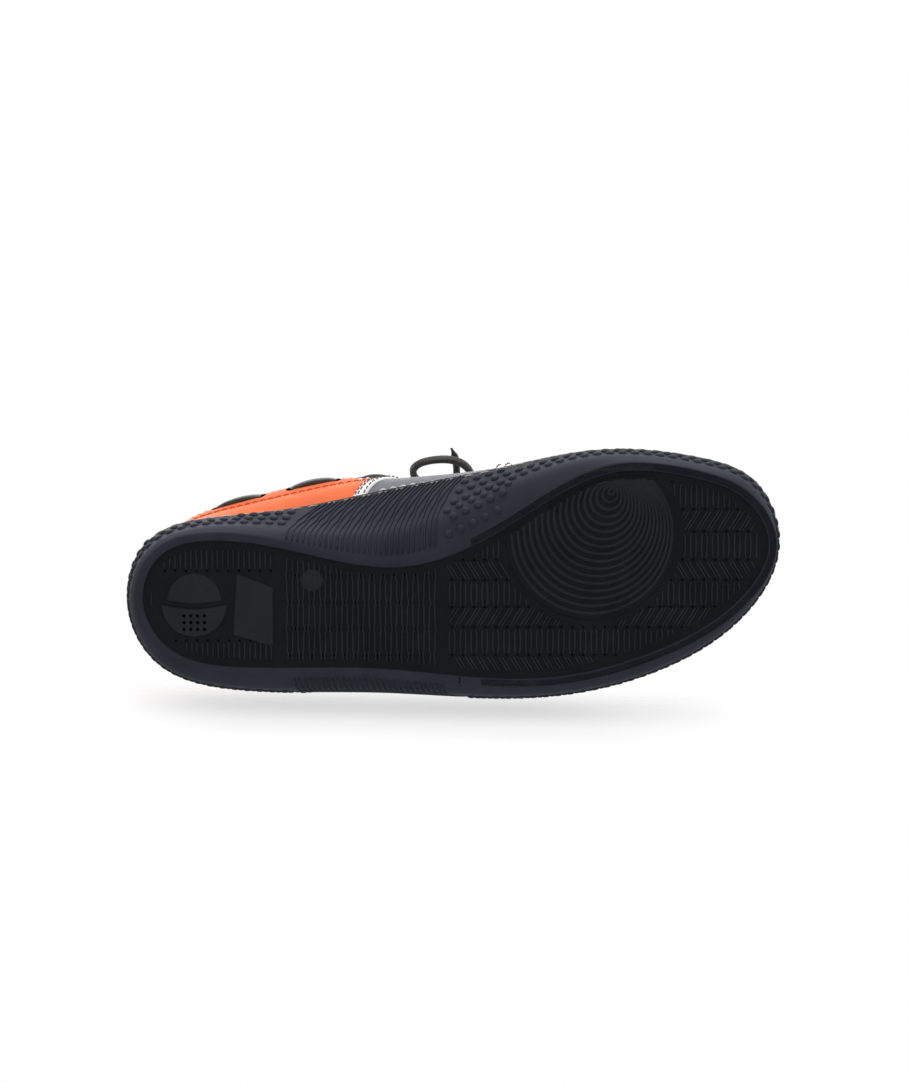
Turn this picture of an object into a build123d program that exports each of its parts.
from build123d import *
import math
import os

# A low boat shoe for the left foot, standing on its sole.
# Millimetres, +Z up, toe towards -Y, heel towards +Y, outer (lateral) side towards +X.
# The origin is the centre of the shoe's footprint, on the ground.
# "Station" is the distance from the back of the heel, measured along the shoe, and
# "offset" is the distance from the heel-to-toe line, positive on the lateral side.

# ---------------------------------------------------------------- driving sizes
shoe_length = 296.0
shoe_width = 112.6        # across the rubber at its widest
drawn_length = 296.0      # the outlines below are drawn for this length and width
drawn_width = 112.6
length_scale = shoe_length / drawn_length
width_scale = shoe_width / drawn_width
axis_shift = 1.3 * width_scale    # offset of the footprint's centre
reach = 90.0 * width_scale        # how far the cutting prisms run to each side

# rubber cup sole
bulge_height = 8.0        # height of the lower bumper's widest part
wall_top = 30.0           # the cup wall is made this tall, then trimmed to its top line
waist_height = 16.0       # foot space outlines between the cup floor and the lip
lip_height = 26.0
waist_share = 0.55        # the waist outline lies this far from bulge to lip
cup_floor = 7.0           # rubber under the foot
cup_wall = 4.5            # rubber wall at its lip
bumper_wall = 7.0         # rubber wall at the bumper
band_width = 3.6          # flat band round the tread
band_drop = 1.2           # the tread field lies this far above the ground
field_margin = 4.0        # the pivot zone keeps this far inside the tread's edge
ball_radius = 38.0 * width_scale  # round pivot zone under the ball of the foot
ball_place = (209.0 * length_scale, -18.5 * width_scale)
ball_step = 0.6

# inside the cup
foam_thickness = 6.0
board_thickness = 2.0
footbed_thickness = 5.0
footbed_gap = 0.2         # the footbed is cut a little smaller than the foot space

# upper
leather = 2.0             # outer leather
lining = 2.2              # padded lining behind it
counter = 1.0             # heel stiffener between leather and lining
counter_top = 47.0
counter_end = 72.0 * length_scale
lining_end = 178.0 * length_scale
tongue_thickness = 3.0
tongue_gap = 0.5          # clearance round the tongue, which moves
tongue_margin = 2.0       # room beside the tongue in the lining
trim_width = 6.0          # white trim bands
backstay_width = 18.0

# lacing
lace = 3.2                # square rawhide lace
eyelet_flange = 4.4
eyelet_barrel = 3.2
eyelet_hole = 2.2
flange_height = 1.0
barrel_depth = 2.2
bar_clearance = 0.6       # between a lace bar's end and the eyelet's flange

# room round the whole shoe for cutting solids
tall = 150.0
deep = 40.0


def sized(points):
    """Bring (station, offset) points from the drawn size to the driving sizes."""
    return [(station * length_scale, offset * width_scale) for station, offset in points]


def stretched(points):
    """Bring (station, height) points from the drawn length to the driving length."""
    return [(station * length_scale, height) for station, height in points]


# ---------------------------------------------------------------- plan outlines
# Each outline is a smooth closed curve through (station, offset) points, from the back of
# the heel along the lateral side to the toe, and back along the medial side.
tread_line = sized([(9.5, -1), (20, 21), (50, 31), (110, 35.6), (185, 45), (240, 34.5), (272, 17),
              (288, -10), (278, -29.5), (256, -40.3), (221, -44.8), (176, -25.5), (128, -9.2),
              (45, -26.2), (18, -20.5)])
bulge_line = sized([(2.5, 0), (14, 28), (48, 41.5), (110, 47), (185, 54), (242, 43.5), (276, 23),
              (292.5, -7.5), (282, -35), (260, -45.5), (212, -52), (167, -40), (122, -27),
              (48, -32.6), (13, -24.5)])
lip_line = sized([(0, 1), (12, 30.5), (48, 44.5), (110, 50.8), (185, 57), (244, 46), (279, 24.8),
            (296, -7), (285, -37), (262, -48), (212, -54.4), (165, -49.3), (120, -43),
            (48, -35.6), (11, -26.5)])
# Top edge of the rubber wall: (station, height).
lip_profile = stretched([(-10, 23), (60, 23), (120, 27), (200, 21), (260, 21), (306, 23)])

# Shares of the length at which the upper's outlines take their points.
shares = [0.0, 0.035, 0.17, 0.38, 0.64, 0.83, 0.945,
          1.0, 0.955, 0.86, 0.70, 0.55, 0.38, 0.17, 0.035]
# Outlines of the upper above the rubber: height, heel station, toe station, then the
# lateral and the medial half widths at the heel, the waist and the ball of the foot.
upper_levels = [
    (36, 5.5, 284, (39, 45, 50.5), (35, 43, 49)),
    (46, 7, 266, (36.5, 41, 44), (36, 44, 43)),
    (54, 9, 240, (34, 37.5, 37), (36, 44, 37)),
    (62, 11, 209, (32.5, 35, 31), (36, 44.5, 31)),
    (71, 13, 181, (31, 33, 28), (35, 42, 28)),
    (80, 14.5, 153, (30, 31, 27), (34, 38, 27)),
    (90, 16, 124, (29, 29, 25), (33, 34, 25)),
]

# ---------------------------------------------------------------- side-view lines
# (station, height) lines that cut the upper into its panels.
topline = stretched([(-10, 66), (15, 65), (45, 59), (80, 56), (112, 60), (135, 69)])
fold_line = stretched([(-10, 52), (20, 51), (50, 46.5), (85, 45), (112, 48), (128, 53)])
lace_line = stretched([(-10, 58), (20, 57.5), (50, 53), (85, 51), (112, 54.5), (128, 60)])
rear_seam = stretched([(100, 10), (104, 28), (115, 46), (124, 58), (134, 75)])
front_seam = stretched([(165, 10), (168, 24), (173, 42), (181, 58), (190, 72)])
vamp_seam = stretched([(183, 10), (188, 24), (194, 42), (201, 56), (212, 72)])
# Stations of the lace where it shows outside the collar, as (start, end).
lace_runs = [(start * length_scale, end * length_scale)
             for start, end in [(40, 62), (75, 97), (108, 126)]]

# ---------------------------------------------------------------- plan-view shapes
throat_front = 187.0 * length_scale   # front end of the opening over the tongue
throat_half = 12.0 * width_scale
throat_flare = 21.0 * width_scale     # half width where the opening meets the collar
throat_corner = 6.0
flare_station = 130.0 * length_scale
throat_back = 60.0 * length_scale
throat_axis = -3.0 * width_scale      # offset of the opening's own centre line
plug_line = sized([(183, -22), (183, 19), (213, 24), (243, 19), (259, 5), (263, -8), (258, -22),
                   (240, -31), (213, -33)])
plug_corner = 4.0
eyelet_stations = [150.0 * length_scale, 172.0 * length_scale]
eyelet_offset = 24.0 * width_scale
# Arched sections of the tongue, from its sewn front edge back, as (distance from the
# front of the opening, crown height, half width, fall from the crown to the edge).
drawn_arches = [(tongue_gap, 66.2, 14, 4.8), (17, 72.1, 20, 9.3), (37, 78, 22, 11),
                (57, 83.7, 22, 10), (73, 88.3, 19, 7.5)]
tongue_arches = [(distance * length_scale, crown, half_width * width_scale, fall)
                 for distance, crown, half_width, fall in drawn_arches]

# ---------------------------------------------------------------- bow
knot_station = 154.0 * length_scale
knot_middle = 86.0
knot_size = (15.0, 11.0, 12.0)
# Free lace, as (station, offset, height) points: two loops of the bow and two ends.
free_lace = {
    "bow_loop_medial": [(151, -10.5, 87), (147, -19, 86), (142, -27.5, 82), (136.5, -35, 76),
                        (132.5, -41.5, 69.5), (131.5, -46, 63.8), (135, -49.3, 59.3),
                        (141.5, -50.6, 57.8), (149, -50.3, 59), (155, -47.8, 63.5),
                        (158.8, -43, 70), (160.3, -35.5, 76), (160, -27, 81), (158.7, -18.5, 85),
                        (157, -10.5, 88)],
    "bow_loop_lateral": [(151, 4.5, 87), (147, 13, 86), (142, 21.5, 82), (137, 29, 76),
                         (133.5, 35, 69.5), (133, 39.5, 63.8), (136.5, 43, 59.3),
                         (143, 44.6, 57.8), (150.5, 44, 59), (156.5, 41.5, 63.5),
                         (160, 36.5, 70), (161.3, 29, 76), (160.7, 20.5, 81), (159, 12, 85),
                         (157, 4.5, 88)],
    "lace_end_medial": [(153.6, -10.5, 90), (152, -18, 91), (151, -26.5, 89.5),
                        (151.5, -35, 85.5), (152.5, -43, 80.5), (152, -50, 76), (150.5, -54, 72.5)],
    "lace_end_lateral": [(153.6, 4.5, 90), (156, 12, 91), (160.5, 20, 89), (166, 28, 84),
                         (171, 35.5, 77), (174.5, 42, 69.5), (177, 47, 62.5)],
}


# ---------------------------------------------------------------- geometry helpers
def place(station, offset):
    """Turn a station and an offset into X and Y."""
    return (offset - axis_shift, shoe_length / 2 - station)


def along(station):
    """Y of a station."""
    return shoe_length / 2 - station


def moved_in(points, amount):
    """Move each point of a closed outline inwards by the same amount."""
    count = len(points)
    result = []
    for index, (station, offset) in enumerate(points):
        before = points[index - 1]
        after = points[(index + 1) % count]
        run = (after[0] - before[0], after[1] - before[1])
        size = math.hypot(*run)
        result.append((station + run[1] / size * amount, offset - run[0] / size * amount))
    return result


def between(first, second, share):
    """Blend two outlines point by point."""
    return [(a[0] + (b[0] - a[0]) * share, a[1] + (b[1] - a[1]) * share)
            for a, b in zip(first, second)]


def upper_outline(level):
    """Closed outline of the upper at one of its levels."""
    height, heel, toe, lateral, medial = level
    heel = heel * length_scale
    toe = toe * length_scale
    lateral = [width * width_scale for width in lateral]
    medial = [width * width_scale for width in medial]
    corner = 0.62
    shoulder = 0.66
    tip = -7.0 * width_scale * (toe / length_scale - 150) / 150
    widths = [0.5, corner * lateral[0], lateral[0], lateral[1], lateral[2],
              shoulder * lateral[2] + tip * 0.3, shoulder * 0.55 * lateral[2] + tip * 0.5, tip,
              -shoulder * 0.8 * medial[2] + tip * 0.3, -0.9 * medial[2], -medial[2],
              -0.5 * (medial[1] + medial[2]), -medial[1], -medial[0], -corner * medial[0]]
    return [(heel + (toe - heel) * share, width) for share, width in zip(shares, widths)]


def section(height, points):
    """Face inside a closed outline, at a height."""
    with BuildSketch(Plane.XY.offset(height)) as face:
        with BuildLine():
            Spline(*[place(*point) for point in points], periodic=True)
        make_face()
    return face.sketch.face()


def upper_form(depth):
    """Solid form of the upper's outer surface, moved inwards by a depth."""
    sections = [
        section(cup_floor, moved_in(bulge_line, bumper_wall + depth)),
        section(waist_height, moved_in(between(bulge_line, lip_line, waist_share),
                                       cup_wall + 1.0 + depth)),
        section(lip_height - depth / 2, moved_in(lip_line, cup_wall + depth)),
    ]
    for level in upper_levels:
        sections.append(section(level[0] - depth, moved_in(upper_outline(level), depth)))
    with BuildPart() as form:
        loft(sections=sections)
    return form.part


def side_strip(lower, upper):
    """Prism across the whole shoe between two side-view lines, given from heel to toe."""
    with BuildPart() as prism:
        with BuildSketch(Plane.YZ):
            with BuildLine():
                Spline(*[(along(s), z) for s, z in lower])
                Spline(*[(along(s), z) for s, z in upper])
                Line((along(lower[0][0]), lower[0][1]), (along(upper[0][0]), upper[0][1]))
                Line((along(lower[-1][0]), lower[-1][1]), (along(upper[-1][0]), upper[-1][1]))
            make_face()
        extrude(amount=reach, both=True)
    return prism.part


def shifted(line, stations=0.0, heights=0.0):
    """Move a side-view line along the shoe and up."""
    return [(s + stations, z + heights) for s, z in line]


def flat_line(height):
    """Level side-view line that spans the shoe."""
    return stretched([(-10, height), (100, height), (200, height), (310, height)])


def half(side):
    """Box that holds one side of the shoe: +1 lateral, -1 medial."""
    with BuildPart() as box:
        with Locations((side * reach / 2 + throat_axis - axis_shift, 0, 50)):
            Box(reach, shoe_length + deep, 2 * tall)
    return box.part


def slab(low, high):
    """Level slab over the whole shoe."""
    with BuildPart() as box:
        with Locations((0, 0, (low + high) / 2)):
            Box(2 * reach, shoe_length + deep, high - low)
    return box.part


def plan_prism(points, corner, low=0.0):
    """Upright prism over a plan outline of (station, offset) corners, rounded."""
    with BuildPart() as prism:
        with BuildSketch(Plane.XY.offset(low)) as shape:
            with BuildLine():
                Polyline(*[place(*point) for point in points], close=True)
            make_face()
            fillet(shape.vertices(), corner)
        extrude(amount=tall)
    return prism.part


def common(base, *tools):
    """Part of a solid that lies inside all the tools."""
    with BuildPart() as piece:
        add(base)
        for tool in tools:
            add(tool, mode=Mode.INTERSECT)
    return piece.part


def without(base, *tools):
    """Part of a solid that lies outside all the tools."""
    with BuildPart() as piece:
        add(base)
        for tool in tools:
            add(tool, mode=Mode.SUBTRACT)
    return piece.part


def save(part, name):
    """Label a finished piece and write its file."""
    part.label = name
    export_step(part, f"parts/{name}.step")


os.makedirs("parts", exist_ok=True)

# ---------------------------------------------------------------- forms
outer_form = upper_form(0.0)
leather_form = upper_form(leather)
foot_form = upper_form(leather + lining)

# ---------------------------------------------------------------- rubber cup sole
with BuildPart() as outsole:
    loft(sections=[
        section(0, moved_in(tread_line, -band_width)),
        section(bulge_height, bulge_line),
        section(wall_top, lip_line),
    ])
    add(outer_form, mode=Mode.SUBTRACT)
    add(side_strip(lip_profile, flat_line(60)), mode=Mode.SUBTRACT)
    with BuildSketch(Plane.XY):
        with BuildLine():
            Spline(*[place(*point) for point in tread_line], periodic=True)
        make_face()
    extrude(amount=band_drop, mode=Mode.SUBTRACT)
    with BuildSketch(Plane.XY.offset(band_drop)):
        with Locations(place(*ball_place)):
            Circle(ball_radius)
        with BuildLine():
            Spline(*[place(*point) for point in moved_in(tread_line, field_margin)], periodic=True)
        make_face(mode=Mode.INTERSECT)
    extrude(amount=-ball_step)
save(outsole.part, "outsole")

# ---------------------------------------------------------------- inside the cup
foam_top = cup_floor + foam_thickness
board_top = foam_top + board_thickness
footbed_top = board_top + footbed_thickness
save(common(outer_form, slab(cup_floor, foam_top)), "foam_filler")
save(common(outer_form, slab(foam_top, board_top)), "insole_board")
footbed_form = upper_form(leather + lining + footbed_gap)
save(common(footbed_form, slab(board_top, footbed_top)), "footbed")

# ---------------------------------------------------------------- cutting shapes
above_board = slab(board_top, tall)
below_topline = side_strip(flat_line(0), topline + stretched([(150, 100), (310, 100)]))
throat = plan_prism([(throat_front, throat_axis - throat_half),
                     (throat_front, throat_axis + throat_half),
                     (flare_station, throat_axis + throat_flare),
                     (throat_back, throat_axis + throat_flare),
                     (throat_back, throat_axis - throat_flare),
                     (flare_station, throat_axis - throat_flare)],
                    throat_corner, low=wall_top + 20)
plug_plan = plan_prism(plug_line, plug_corner, low=wall_top)

# ---------------------------------------------------------------- outer leather panels
far_back = stretched([(-12, 0), (-12, 60), (-12, 120)])
far_front = stretched([(310, 0), (310, 60), (310, 120)])
rear_zone = side_strip(far_back, rear_seam)
rear_trim_zone = side_strip(rear_seam, shifted(rear_seam, trim_width))
saddle_zone = side_strip(shifted(rear_seam, trim_width), front_seam)
front_trim_zone = side_strip(front_seam, shifted(front_seam, trim_width))
front_panel_zone = side_strip(shifted(front_seam, trim_width), vamp_seam)
vamp_zone = side_strip(vamp_seam, far_front)
above_fold = side_strip(fold_line + stretched([(150, 60)]), flat_line(tall))

leather_shell = common(without(outer_form, leather_form, throat),
                       above_board, below_topline)
upper_leather = without(leather_shell, plug_plan)
with BuildPart() as backstay_zone:
    with Locations((-axis_shift, along(15), tall / 2)):
        Box(backstay_width, 60, tall)

save(common(leather_shell, plug_plan), "toe_plug")
save(common(upper_leather, vamp_zone), "vamp")
save(common(rear_zone, upper_leather, backstay_zone.part), "backstay")
rear_leather = without(common(upper_leather, rear_zone), backstay_zone.part)
side_names = {1: "lateral", -1: "medial"}
saddles = {}
for side, side_name in side_names.items():
    side_half = half(side)
    save(common(rear_leather, above_fold, side_half), f"collar_{side_name}")
    save(without(common(rear_leather, side_half), above_fold), f"quarter_{side_name}")
    save(common(upper_leather, rear_trim_zone, side_half), f"rear_trim_{side_name}")
    save(common(upper_leather, front_trim_zone, side_half), f"front_trim_{side_name}")
    save(common(upper_leather, front_panel_zone, side_half), f"front_panel_{side_name}")
    saddles[side] = common(upper_leather, saddle_zone, side_half)

# ---------------------------------------------------------------- eyelets
def skin_plane(station, offset):
    """Plane on the leather above a plan position, facing outwards."""
    x, y = place(station, offset)
    hits = outer_form.find_intersection_points(Axis((x, y, 0), (0, 0, 1)))
    point, normal = max(hits, key=lambda hit: hit[0].Z)
    if normal.Z < 0:
        normal = -normal
    return Plane(origin=point, z_dir=normal)


rivet_sets = {}
eyelet_planes = {side: [skin_plane(station, throat_axis + side * eyelet_offset)
                        for station in eyelet_stations] for side in side_names}
for side, side_name in side_names.items():
    with BuildPart() as rivets:
        for plane in eyelet_planes[side]:
            with BuildSketch(plane):
                Circle(eyelet_flange)
            extrude(amount=flange_height)
            with BuildSketch(plane):
                Circle(eyelet_barrel)
            extrude(amount=-barrel_depth)
    with BuildPart() as eyelets:
        add(rivets.part)
        for plane in eyelet_planes[side]:
            with BuildSketch(plane.offset(-barrel_depth - 1)):
                Circle(eyelet_hole)
            extrude(amount=barrel_depth + flange_height + 2, mode=Mode.SUBTRACT)
    save(eyelets.part, f"eyelets_{side_name}")
    rivet_sets[side] = rivets.part
    saddles[side] = without(saddles[side], rivets.part)
    save(saddles[side], f"saddle_{side_name}")

# ---------------------------------------------------------------- lining and heel counter
tongue_space = plan_prism(
    [(throat_front - distance, throat_axis - half_width - tongue_margin)
     for distance, crown, half_width, fall in tongue_arches]
    + [(throat_front - distance, throat_axis + half_width + tongue_margin)
       for distance, crown, half_width, fall in reversed(tongue_arches)], 1.5, low=wall_top + 20)
lining_zone = side_strip(far_back, [(lining_end, 0), (lining_end, 60), (lining_end, 120)])
counter_zone = side_strip([(-12, 0), (30, -1), (counter_end, 0)],
                          [(-12, counter_top), (30, counter_top + 1),
                           (counter_end, lip_height)])

counter_form = upper_form(leather + counter)
heel_counter = without(common(leather_form, above_board, counter_zone), counter_form)
save(heel_counter, "heel_counter")
lining_shell = without(leather_form, foot_form, tongue_space, throat, heel_counter,
                       *rivet_sets.values())
save(common(lining_shell, above_board, below_topline, lining_zone), "collar_lining")

# ---------------------------------------------------------------- tongue
def arch_section(distance, crown, half_width, fall):
    """Upright arched section of the tongue."""
    middle = throat_axis - axis_shift
    plane = Plane(origin=(middle, along(throat_front - distance), 0), x_dir=(1, 0, 0),
                  z_dir=(0, -1, 0))
    low_crown = crown - tongue_thickness
    with BuildSketch(plane) as face:
        with BuildLine():
            ThreePointArc((-half_width, crown - fall), (0, crown), (half_width, crown - fall))
            ThreePointArc((-half_width, low_crown - fall), (0, low_crown),
                          (half_width, low_crown - fall))
            Line((-half_width, crown - fall), (-half_width, low_crown - fall))
            Line((half_width, crown - fall), (half_width, low_crown - fall))
        make_face()
    return face.sketch.face()


with BuildPart() as tongue_blank:
    loft(sections=[arch_section(*arch) for arch in tongue_arches])
save(common(tongue_blank.part, upper_form(leather + tongue_gap)), "tongue")

# ---------------------------------------------------------------- lace
lace_form = upper_form(-lace)
lace_shell = without(lace_form, outer_form)
lace_strip = side_strip(shifted(lace_line, heights=-lace / 2), shifted(lace_line, heights=lace / 2))
for side, side_name in side_names.items():
    ring = common(lace_shell, lace_strip, half(side))
    with BuildPart() as windows:
        for start, end in lace_runs:
            with Locations((0, along((start + end) / 2), tall / 2)):
                Box(2 * reach, end - start, tall)
    save(common(ring, windows.part), f"collar_lace_{side_name}")
for station, name in zip(eyelet_stations, ["upper_lace_bar", "lower_lace_bar"]):
    with BuildPart() as bar_zone:
        with Locations((*place(station, throat_axis), tall / 2)):
            Box(2 * (eyelet_offset - eyelet_flange - bar_clearance), lace, 60)
    save(common(lace_shell, bar_zone.part), name)

# The knot sits on the upper bar.
with BuildPart() as lace_knot:
    with Locations((*place(knot_station, throat_axis), knot_middle)):
        Box(*knot_size)
    fillet(lace_knot.edges().filter_by(Axis.Z), 3)
    add(lace_form, mode=Mode.SUBTRACT)
    fillet(lace_knot.faces().sort_by(Axis.Z)[-1].edges(), 2.5)
save(lace_knot.part, "lace_knot")


# ---------------------------------------------------------------- free lace
def cord_tube(name, route):
    """Tube of the lace's width along straight runs joined by the largest arcs that fit."""
    points = [Vector(*place(station * length_scale, offset * width_scale), height)
              for station, offset, height in route]
    radii = []
    for before, here, after in zip(points, points[1:], points[2:]):
        first = here - before
        second = after - here
        turn = math.radians(first.get_angle(second))
        radii.append(0.45 * min(first.length, second.length) / math.tan(turn / 2))
    with BuildPart() as tube:
        with BuildLine():
            path = FilletPolyline(*points, radius=radii)
        with BuildSketch(Plane(origin=path @ 0, z_dir=path % 0)):
            Circle(lace / 2)
        sweep()
    expected = math.pi * lace ** 2 / 4 * path.length
    print(name, "length", round(path.length, 1), "tightest radius", round(min(radii), 1),
          "volume share", round(tube.part.volume / expected, 3))
    save(tube.part, name)


for name, route in free_lace.items():
    cord_tube(name, route)
